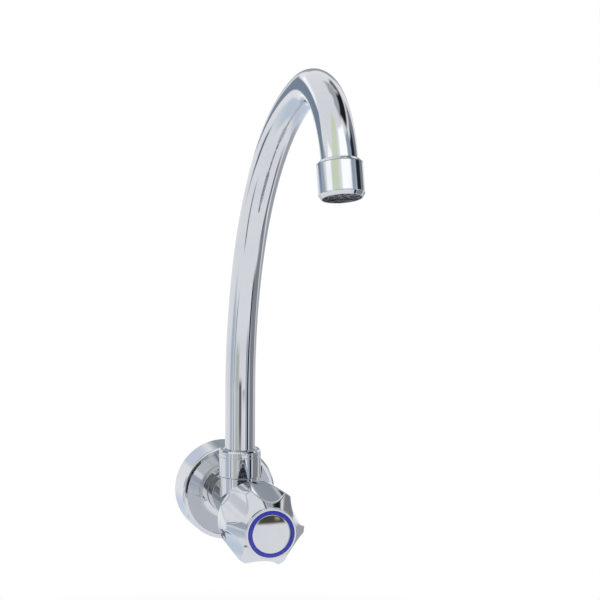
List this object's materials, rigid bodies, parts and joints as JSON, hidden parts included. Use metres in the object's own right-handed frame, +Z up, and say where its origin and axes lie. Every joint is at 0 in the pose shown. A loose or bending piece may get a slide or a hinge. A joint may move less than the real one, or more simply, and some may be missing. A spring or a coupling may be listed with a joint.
{
  "type": "wall-mounted swan-neck sink tap",
  "caption": "Chrome wall-mounted sink tap with a swan-neck swivel spout, a deep round flange and a lobed knob with a blue index ring.",
  "frame": {"origin": "on the axis of the inlet shank, in the plane of the flange's back rim where it meets the wall", "axes": "+Z up along the spout's rise, +Y along the shank into the wall, +X to the user's right"},
  "size_m": [0.0604, 0.2738, 0.2848],
  "materials": {
    "chrome_plate": "polished",
    "bare_brass": "machined",
    "seal_rubber": "matte",
    "spring_steel": "satin",
    "white_nylon": "satin",
    "red_fibre": "matte",
    "index_blue": "glossy",
    "grey_plastic": "satin"
  },
  "bodies": {
    "tap": {"tap_body": "chrome_plate", "wall_flange": "chrome_plate", "headwork_bonnet": "chrome_plate", "bonnet_gasket": "red_fibre", "spout_nut": "chrome_plate", "spout_thrust_washer": "white_nylon"},
    "handle": {"handle_knob": "chrome_plate", "spindle": "bare_brass", "spindle_o_rings": "seal_rubber", "spindle_circlip": "spring_steel", "handle_screw": "spring_steel", "index_ring": "index_blue", "index_cap": "chrome_plate"},
    "plunger": {"valve_plunger": "bare_brass", "valve_washer": "seal_rubber", "washer_screw": "bare_brass"},
    "spout": {"spout_tube": "chrome_plate", "spout_ferrule": "bare_brass", "spout_o_rings": "seal_rubber", "spout_split_ring": "white_nylon", "spout_end_bush": "chrome_plate", "aerator_housing": "chrome_plate", "aerator_cage": "grey_plastic", "aerator_screens": "spring_steel", "aerator_diffuser": "white_nylon", "aerator_washer": "seal_rubber"}
  },
  "joints": [
    {"name": "spout_swivel", "type": "hinge", "parent": "tap", "child": "spout", "pos_m": [0, -0.0476, 0.027], "axis": [0, 0, 1], "range_deg": [-100, 100]},
    {"name": "handle_turn", "type": "hinge", "parent": "tap", "child": "handle", "pos_m": [0, -0.09, 0], "axis": [0, -1, 0], "range_deg": [0, 900]},
    {"name": "valve_lift", "type": "slide", "parent": "tap", "child": "plunger", "axis": [0, -1, 0], "range_m": [0, 0.005]}
  ],
  "couplings": [
    {"joint": "valve_lift", "follows": "handle_turn", "m_per_rad": 0.0003183}
  ]
}
